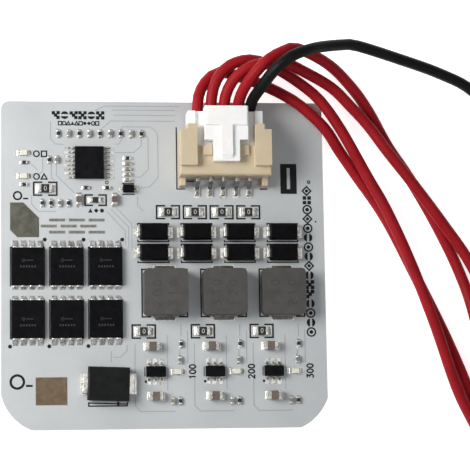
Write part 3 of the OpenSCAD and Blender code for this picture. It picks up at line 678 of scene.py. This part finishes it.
markBlock = [(-0.4, -0.4), (0.4, -0.4), (0.4, 0.4), (-0.4, 0.4)]
markStrokes = {  # points and whether the line closes, on a square from -1 to 1
    "square": [([(-0.85, -0.9), (0.85, -0.9), (0.85, 0.9), (-0.85, 0.9)], True)],
    "ring": [(arcPoints(0, 0, 0.9, n=20), True)],
    "ringDot": [(arcPoints(0, 0, 0.9, n=20), True)],
    "triangle": [([(-0.95, -0.85), (0.95, -0.85), (0, 0.9)], True)],
    "kite": [([(-0.95, 0), (0, -0.95), (0.95, 0), (0, 0.95)], True)],
    "bar": [([(-1, 0), (1, 0)], False)],
}
markPatches = {  # outline and its place
    "ringDot": [(arcPoints(0, 0, 0.42, n=16), 0, 0)],
    "kite": [(arcPoints(0, 0, 0.36, n=16), 0, 0)],
    "quarters": [(markBlock, x, y) for x in (-0.52, 0.52) for y in (-0.52, 0.52)],
    "checker": [(markBlock, x, y) for x, y in ((-0.55, 0.55), (0.55, -0.55), (0, 0), (0.6, 0.6))],
    "five": [(markBlock, x, y) for x, y in ((-0.6, -0.6), (-0.6, 0.6), (0, 0), (0.6, -0.6), (0.6, 0.6))],
    "diamond": [([(-1, 0), (0, -1), (1, 0), (0, 1)], 0, 0)],
    "wedge": [([(-1, -0.85), (1, -0.85), (0, 0.95)], 0, 0)],
    "disc": [(arcPoints(0, 0, 0.85, n=20), 0, 0)],
    "halves": [(arcPoints(0, 0, 0.95, 0.95, start, start + 150, 10), 0, 0) for start in (15, 195)],
}


def simpleMark(bm, kind, x, y, size, width, angle=0):
    half = size / 2
    for points, closed in markStrokes.get(kind, []):
        moved = [turned((px * half, py * half), angle, (x, y)) for px, py in points]
        inkStroke(bm, moved, width, closed)
    for outline, dx, dy in markPatches.get(kind, []):
        inkPatch(bm, [turned(((px + dx) * half, (py + dy) * half), angle, (x, y)) for px, py in outline])


denseMarks = ["ringDot", "kite", "quarters", "checker", "five", "halves"]
smallMarks = ["disc", "square", "ring", "wedge", "diamond", "triangle"]
markRows = [
    {"kinds": denseMarks, "count": 6, "start": (-16.4, 22.85), "step": (1.36, 0),
     "size": 1.28, "line": 0.21, "angle": 0},
    {"kinds": smallMarks, "count": 10, "start": (-15.75, 21.6), "step": (0.63, 0),
     "size": 0.6, "line": 0.16, "angle": 0},
    {"kinds": denseMarks, "count": 16, "start": (22.43, -10.55), "step": (-0.02, 1.452),
     "size": 1.4, "line": 0.23, "angle": 90},
]
singleMarks = [  # kind, place, size and line
    ("ring", 22.5, 12.6, 0.42, 0.16),  # at the end of the upright row
    ("ring", -19.35, 16.85, 0.95, 0.2), ("square", -18.2, 16.85, 0.92, 0.2),  # beside the lamps
    ("ring", -19.35, 13.35, 0.95, 0.2), ("triangle", -18.2, 13.35, 0.92, 0.2),
    ("wedge", -11.2, 8.12, 0.7, 0.18), ("diamond", -10.32, 8.12, 0.7, 0.18),  # under the thermistor
    ("disc", -9.44, 8.12, 0.7, 0.18),
    ("ring", -22.22, 10.4, 1.3, 0.26), ("bar", -21.0, 9.95, 0.75, 0.24),  # beside the two big pads
    ("ring", -22.3, -17.8, 2.2, 0.36), ("bar", -20.5, -18.4, 1.0, 0.32),
]
strayDot = (23.45, 6.45, 0.14)  # place and radius
markSeed = 11


def makePlainMarks():
    bm = bmesh.new()
    order = random.Random(markSeed)
    kind = None
    for row in markRows:
        for i in range(row["count"]):
            kind = order.choice([other for other in row["kinds"] if other != kind])
            x, y = (start + i * step for start, step in zip(row["start"], row["step"]))
            simpleMark(bm, kind, x, y, row["size"], row["line"], row["angle"])
    for mark in singleMarks:
        simpleMark(bm, *mark)
    inkDisc(bm, *strayDot)
    finishMesh("plainPrint", bm, inkAndShadowMaterial)


digits = {
    "0": arcPoints(0.3, 0.5, 0.27, 0.47, n=18),
    "1": [(0.12, 0.78), (0.34, 0.97), (0.34, 0.02)],
    "2": arcPoints(0.3, 0.72, 0.25, 0.25, 170, -40, 10) + [(0.05, 0.03), (0.58, 0.03)],
    "3": [(0.05, 0.97), (0.53, 0.97), (0.27, 0.6)] + arcPoints(0.28, 0.3, 0.27, 0.28, 50, -150, 10),
}
numberLooks = {
    "channels": {
        "texts": ("100", "200", "300"), "start": (4.6, -17.55), "pitch": 9,
        "height": 1.0, "line": 0.21, "angle": 90},
    "links": {
        "text": "0", "height": 0.66, "line": 0.08, "corner": (-0.2, -0.33), "angle": 0,
        "sunk": 0.01, "proud": 0.012},
    "coils": {
        "texts": (("200", "310"), ("330", "120"), ("120", "210")), "height": 1.3, "line": 0.24, "angle": 90,
        "spacing": 1.2, "columns": (-0.75, 1.75), "start": -2.25},
    "sunk": 0.005, "proud": 0.006,
}
transistorMark = {
    "ring": (-0.6, 0.85, 0.2), "ringLine": 0.1, "bar": [(-0.25, 0.85), (0.9, 0.85)], "barLine": 0.13,
    "dashes": 6, "dashStart": (-1.1, -0.1), "dashStep": 0.42, "dash": 0.24, "dashLine": 0.32,
    "lowerRow": -0.9,
}


def addNumber(bm, text, x, y, height, width, angle, z0, z1, spacing=0.78):
    for i, digit in enumerate(text):
        points = [((px + spacing * i) * height, py * height) for px, py in digits[digit]]
        placed = [turned(point, angle, (x, y)) for point in points]
        addStroke(bm, placed, width, z0, z1, closed=digit == "0")


def makeNumbers(s=numberLooks):
    channels, links = s["channels"], s["links"]
    bm = bmesh.new()
    x, y = channels["start"]
    for k, text in enumerate(channels["texts"]):
        addNumber(bm, text, x + channels["pitch"] * k, y, channels["height"], channels["line"],
                  channels["angle"], inkBottom, inkTop)
    finishMesh("channelNumbers", bm, inkAndShadowMaterial)
    bm = bmesh.new()
    for low, high in solidBoxes("zero_links"):
        addNumber(bm, links["text"], (low.x + high.x) / 2 + links["corner"][0],
                  (low.y + high.y) / 2 + links["corner"][1], links["height"], links["line"], links["angle"],
                  high.z - links["sunk"], high.z + links["proud"])
    finishMesh("linkZeros", bm, whiteMark)


def markHeights(high):
    return high.z - numberLooks["sunk"], high.z + numberLooks["proud"]


def makeTransistorMarks(s=transistorMark):
    laserMark = makeMoulded("laserMark", {
        "dark": (0.010, 0.010, 0.009), "light": (0.026, 0.025, 0.021), "grain": 9, "cloud": 2,
        "rough": (0.55, 0.7), "depth": 0.003})
    bm = bmesh.new()
    ringX, ringY, ringRadius = s["ring"]
    dashX, dashY = s["dashStart"]
    for k, name in enumerate(fets):
        _, high, x, y = partBox(name)
        y += 0 if k < 3 else s["lowerRow"]
        span = markHeights(high)
        addStroke(bm, arcPoints(x + ringX, y + ringY, ringRadius, n=14), s["ringLine"], *span, closed=True)
        addStroke(bm, [(x + px, y + py) for px, py in s["bar"]], s["barLine"], *span)
        for i in range(s["dashes"]):
            left = x + dashX + i * s["dashStep"]
            addStroke(bm, [(left, y + dashY), (left + s["dash"], y + dashY)], s["dashLine"], *span)
    finishMesh("transistorMarks", bm, laserMark)


def makeInductorMarks(s=numberLooks["coils"]):
    pressedMark = makeMoulded("pressedMark", {
        "dark": (0.040, 0.038, 0.036), "light": (0.062, 0.059, 0.055), "grain": 9, "cloud": 2,
        "rough": (0.6, 0.7), "depth": 0.003})
    bm = bmesh.new()
    for name, texts in zip(inductors, s["texts"]):
        _, high, x, y = partBox(name)
        for shift, text in zip(s["columns"], texts):
            addNumber(bm, text, x + shift, y + s["start"], s["height"], s["line"], s["angle"],
                      *markHeights(high), s["spacing"])
    finishMesh("inductorMarks", bm, pressedMark)


makeFrames()
makeHeaderPrint()
makePlainMarks()
makeNumbers()
makeTransistorMarks()
makeInductorMarks()
print("print ready")


# tinned copper and solder, each with the pieces it is on
tinFinishes = {
    "brightSolder": {
        "dark": (0.34, 0.335, 0.31), "light": (0.96, 0.955, 0.94), "ripple": 1.2, "metal": 0.75,
        "rough": (0.18, 0.28), "depth": 0.014, "on": ["part_pads", "fet_solder"]},
    "leadTin": {
        "dark": (0.24, 0.235, 0.205), "light": (0.92, 0.91, 0.86), "ripple": 1.2, "metal": 0.88,
        "rough": (0.2, 0.32), "depth": 0.008,
        "on": ["fet_leads", "diode_straps", "clamp_straps", "plug_terminals"]},
    "thinLeadTin": {
        "dark": (0.06, 0.056, 0.047), "light": (0.56, 0.55, 0.51), "ripple": 1.9, "metal": 0.88,
        "rough": (0.3, 0.42), "depth": 0.006,
        "on": ["controller_leads", "driver_leads", "small_diode_leads", "header_contacts"]},
    "clipTin": {
        "dark": (0.11, 0.10, 0.086), "light": (0.30, 0.28, 0.25), "ripple": 1.3, "metal": 0.6,
        "rough": (0.4, 0.55), "depth": 0.01, "on": ["inductor_clips"]},
    "capTin": {
        "dark": (0.30, 0.295, 0.28), "light": (0.88, 0.87, 0.84), "ripple": 1.8, "metal": 0.8,
        "rough": (0.25, 0.38), "depth": 0.008,
        "on": ["resistor_ends", "ceramic_chip_ends", "storage_chip_ends", "zero_link_ends", "thermistor_ends",
               "lamp_ends"]},
    "cellPadTin": {
        "dark": (0.085, 0.085, 0.066), "light": (0.13, 0.13, 0.104), "ripple": 0.9, "metal": 0.55,
        "rough": (0.42, 0.55), "depth": 0.01, "on": ["cell_pad_tin"]},
    "packPadTin": {
        "dark": (0.135, 0.094, 0.057), "light": (0.19, 0.137, 0.088), "ripple": 0.9, "metal": 0.5,
        "rough": (0.42, 0.55), "depth": 0.01, "on": ["pack_pad_tin"]},
    "stripTin": {
        "dark": (0.16, 0.155, 0.14), "light": (0.27, 0.26, 0.24), "ripple": 1.6, "metal": 0.5,
        "rough": (0.4, 0.55), "depth": 0.012, "on": ["tinned_strips"]},
    "tipTin": {
        "dark": (0.5, 0.5, 0.5), "light": (0.8, 0.8, 0.78), "ripple": 3, "metal": 1, "rough": (0.2, 0.35),
        "depth": 0.03, "on": []},
}
tins = {name: makeTinned(name, s) for name, s in tinFinishes.items()}
for name, s in tinFinishes.items():
    dress(tins[name], *s["on"])
for tip in wireTips:
    tip.data.materials.append(tins["tipTin"])


def addFillet(bm, low, high, way, along, reach, rise, steps=5, narrow=0.9):
    angles = [math.radians(90 * i / steps) for i in range(steps + 1)]  # a hollow quarter round
    profile = [(0, 0)] + [(reach * (1 - math.sin(a)), rise * (1 - math.cos(a))) for a in angles]
    middle = (low + high) / 2
    ends = []
    for side in (-1, 1):
        ring = []
        for out, up in profile:
            share = side * (narrow if out > 0.01 else 1) / 2
            if along == "x":
                x = (high.x if way > 0 else low.x) + way * out
                y = middle.y + share * (high.y - low.y)
            else:
                x = middle.x + share * (high.x - low.x)
                y = (high.y if way > 0 else low.y) + way * out
            ring.append(bm.verts.new((x, y, low.z + up)))
        ends.append(ring)
    n = len(profile)
    for i in range(n):
        j = (i + 1) % n
        bm.faces.new((ends[0][i], ends[0][j], ends[1][j], ends[1][i]))
    bm.faces.new(ends[0])
    bm.faces.new(ends[1][::-1])


chipSolder = {  # body node: end caps' node and how far the solder runs out
    "resistors": ("resistor_ends", 0.2),
    "ceramic_chips": ("ceramic_chip_ends", 0.2),
    "storage_chips": ("storage_chip_ends", 0.3),
    "zero_links": ("zero_link_ends", 0.42),
    "thermistor": ("thermistor_ends", 0.4),
    "lamp_bases": ("lamp_ends", 0.34),
}
solderRise = 0.8  # share of the end cap's height
clipSolder = {"reach": 0.5, "rise": 0.6}


def makeChipSolder():
    bm = bmesh.new()
    for bodies, (ends, reach) in chipSolder.items():
        middles = [(low + high) / 2 for low, high in solidBoxes(bodies)]
        for low, high in solidBoxes(ends):
            here = (low + high) / 2
            away = here - min(middles, key=lambda m: (m - here).length)
            along = "x" if abs(away.x) > abs(away.y) else "y"
            way = 1 if (away.x if along == "x" else away.y) > 0 else -1
            addFillet(bm, low, high, way, along, reach, solderRise * (high.z - low.z))
    finishMesh("chipSolder", bm, tins["brightSolder"], smoothAngle=50)


def makeClipSolder(s=clipSolder):
    bm = bmesh.new()
    for name in inductors:
        bodyLow, bodyHigh, _, middleY = partBox(name)
        for low, high in solidBoxes("inductor_clips"):
            if bodyLow.x < low.x and high.x < bodyHigh.x:
                addFillet(bm, low, high, 1 if low.y > middleY else -1, "y", s["reach"], s["rise"])
    finishMesh("clipSolder", bm, tins["clipTin"], smoothAngle=50)


makeChipSolder()
makeClipSolder()
print("solder ready")


# moulded and ceramic bodies, each finish with the pieces it is on
dullPlastic = {"IOR": 1.5, "Specular IOR Level": 0.03}
mouldedFinishes = {
    "transistorBlack": {
        "dark": (0.003, 0.003, 0.004), "light": (0.008, 0.008, 0.009), "grain": 14, "cloud": 0.8,
        "rough": (0.5, 0.62), "depth": 0.01, "fixed": dullPlastic, "on": fets},
    "controllerBlack": {
        "dark": (0.004, 0.004, 0.005), "light": (0.011, 0.011, 0.012), "grain": 14, "cloud": 1,
        "rough": (0.52, 0.64), "depth": 0.008, "fixed": dullPlastic,
        "on": ["controller", *drivers, "small_diode"]},
    "diodeBlack": {
        "dark": (0.003, 0.003, 0.0035), "light": (0.007, 0.007, 0.008), "grain": 12, "cloud": 0.9,
        "rough": (0.42, 0.54), "depth": 0.008, "fixed": dullPlastic, "on": diodes},
    "clampBlack": {
        "dark": (0.009, 0.010, 0.011), "light": (0.019, 0.019, 0.019), "grain": 12, "cloud": 0.6,
        "rough": (0.45, 0.58), "depth": 0.008, "fixed": dullPlastic, "on": ["clamp_diode"]},
    "pressedIron": {
        "dark": (0.050, 0.047, 0.044), "light": (0.075, 0.071, 0.067), "grain": 9, "cloud": 0.7,
        "rough": (0.5, 0.68), "depth": 0.012,
        "speck": (0.13, 0.125, 0.12), "speckPerMm": 5, "speckSize": 0.16, "on": inductors},
    "resistorGlaze": {
        "dark": (0.005, 0.005, 0.006), "light": (0.015, 0.015, 0.016), "grain": 10, "cloud": 2,
        "rough": (0.25, 0.4), "depth": 0.004, "on": ["resistors", "zero_links", "thermistor"]},
    "paleCeramic": {
        "dark": (0.13, 0.115, 0.10), "light": (0.30, 0.27, 0.22), "grain": 8, "cloud": 0.3,
        "rough": (0.4, 0.55), "depth": 0.006, "on": ["ceramic_chips"]},
    "brownCeramic": {
        "dark": (0.05, 0.042, 0.036), "light": (0.21, 0.16, 0.13), "grain": 6, "cloud": 0.16,
        "rough": (0.35, 0.5), "depth": 0.006, "on": ["storage_chips"]},
    "lampBase": {
        "dark": (0.5, 0.5, 0.45), "light": (0.66, 0.66, 0.6), "grain": 6, "cloud": 1,
        "rough": (0.5, 0.6), "depth": 0.005, "on": ["lamp_bases"]},
    "lampLens": {
        "dark": (0.60, 0.60, 0.48), "light": (0.80, 0.80, 0.70), "grain": 4, "cloud": 0.9,
        "rough": (0.12, 0.22), "depth": 0.004, "fixed": {"IOR": 1.5, "Coat Weight": 0.5},
        "on": ["lamp_lenses"]},
    "headerNylon": {
        "dark": (0.55, 0.45, 0.305), "light": (0.61, 0.51, 0.355), "grain": 7, "cloud": 0.35,
        "rough": (0.38, 0.5), "depth": 0.012, "fixed": {"IOR": 1.5}, "on": ["header_housing"]},
    "plugNylon": {
        "dark": (0.87, 0.87, 0.865), "light": (0.95, 0.945, 0.935), "grain": 6, "cloud": 0.3,
        "rough": (0.34, 0.44), "depth": 0.006,
        "fixed": {"IOR": 1.5, "Subsurface Weight": 0.25, "Subsurface Scale": 0.001}, "on": ["plug_housing"]},
    "tieNylon": {
        "dark": (0.012, 0.012, 0.012), "light": (0.03, 0.03, 0.03), "grain": 5, "cloud": 1,
        "rough": (0.4, 0.5), "depth": 0.02, "on": ["coil_ties"]},
}
for name, s in mouldedFinishes.items():
    dress(makeMoulded(name, s), *s["on"])

edgeRounds = [  # radius, segments, nodes
    (0.07, 2, [*fets, "controller", *diodes, "clamp_diode"]),
    (0.05, 2, [*drivers, "small_diode", *tinFinishes["capTin"]["on"], "lamp_lenses"]),
    (0.22, 3, inductors),
    (0.04, 2, ["diode_straps", "clamp_straps", "inductor_clips", "controller_leads", "driver_leads",
               "small_diode_leads", "fet_leads"]),
    (0.08, 2, ["header_contacts"]),
    (0.12, 2, ["header_housing"]),
    (0.14, 3, ["plug_housing"]),
    (0.1, 2, ["coil_ties"]),
]
for radius, segments, names in edgeRounds:
    soften(radius, *names, segments=segments)
print("parts ready")


# wire insulation
insulation = {
    "red": {
        "dark": (0.25, 0.006, 0.010), "light": (0.345, 0.010, 0.016), "grain": 3, "cloud": 0.25,
        "rough": (0.42, 0.54), "depth": 0.01, "fixed": {"IOR": 1.5, "Specular IOR Level": 0.12}},
    "black": {
        "dark": (0.003, 0.003, 0.003), "light": (0.007, 0.007, 0.007), "grain": 3, "cloud": 0.25,
        "rough": (0.42, 0.55), "depth": 0.01, "fixed": {"IOR": 1.5, "Specular IOR Level": 0.14}},
}
redPvc = makeMoulded("redInsulation", insulation["red"])
blackPvc = makeMoulded("blackInsulation", insulation["black"])
for name, wire in zip(wireNames, wires):
    wire.data.materials.append(blackPvc if name == "blackWire" else redPvc)


# floor and light
studio = {
    "floor": (0.86, 0.865, 0.87), "floorShade": 0.99, "floorRough": 0.7, "floorGlow": 0.88,
    "floorHalf": 2.5, "floorDrop": 0.0001,  # m
    "horizon": (0.93, 0.96, 1.0), "zenith": (0.16, 0.165, 0.17), "overhead": (3.0, 3.0, 2.92),
    "zenithBand": (0.45, 0.9), "overheadBand": (0.962, 0.978), "skyPower": 0.42,
    "keyPlace": (-130, 28, 125), "keySize": 110, "keyPower": 0.375, "keyColour": (1.0, 0.985, 0.96),
    "fillPlace": (160, -150, 260), "fillSize": 260, "fillPower": 0.12,
}


def makeFloor(s):
    bm = bmesh.new()
    bmesh.ops.create_grid(bm, x_segments=2, y_segments=2, size=s["floorHalf"])
    mesh = bpy.data.meshes.new("benchTop")
    bm.to_mesh(mesh)
    bm.free()
    floor = newObject("benchTop", mesh)
    floor.location.z = -s["floorDrop"]
    fixed = {"Roughness": s["floorRough"], "Emission Strength": s["floorGlow"]}
    material, tree, shader = startMaterial("benchPaper", fixed)
    grain = addEffect(tree, mouldedGrain, {"Grain per mm": 2, "Cloud per mm": 0.02})
    colour = addBlend(tree, grain["Mottle"], [s["floorShade"] * c for c in s["floor"]], s["floor"])
    tree.links.new(colour, shader.inputs["Base Color"])
    tree.links.new(colour, shader.inputs["Emission Color"])
    mesh.materials.append(material)


def makeLamp(name, place, size, power, colour=(1, 1, 1)):
    data = bpy.data.lights.new(name, "AREA")
    data.shape = "DISK"
    data.size = size * mm
    data.energy = power
    data.color = colour
    lamp = newObject(name, data)
    lamp.location = Vector(place) * mm
    lamp.rotation_euler = (-lamp.location).to_track_quat("-Z", "Y").to_euler()


makeFloor(studio)
makeLamp("keySoftbox", studio["keyPlace"], studio["keySize"], studio["keyPower"], studio["keyColour"])
makeLamp("fillSoftbox", studio["fillPlace"], studio["fillSize"], studio["fillPower"])


def makeSky(s):
    world = bpy.data.worlds.new("studioSky")
    bpy.context.scene.world = world
    world.use_nodes = True
    tree = world.node_tree
    split = tree.nodes.new("ShaderNodeSeparateXYZ")
    tree.links.new(tree.nodes.new("ShaderNodeTexCoord").outputs["Generated"], split.inputs[0])
    dome = addBlend(tree, addRange(tree, split.outputs["Z"], *s["zenithBand"]), s["horizon"], s["zenith"])
    dome = addBlend(tree, addRange(tree, split.outputs["Z"], *s["overheadBand"]), dome, s["overhead"])
    back = tree.nodes["Background"]
    tree.links.new(dome, back.inputs["Color"])
    back.inputs["Strength"].default_value = s["skyPower"]


makeSky(studio)
bpy.context.scene.view_settings.view_transform = "Standard"
print("studio ready")
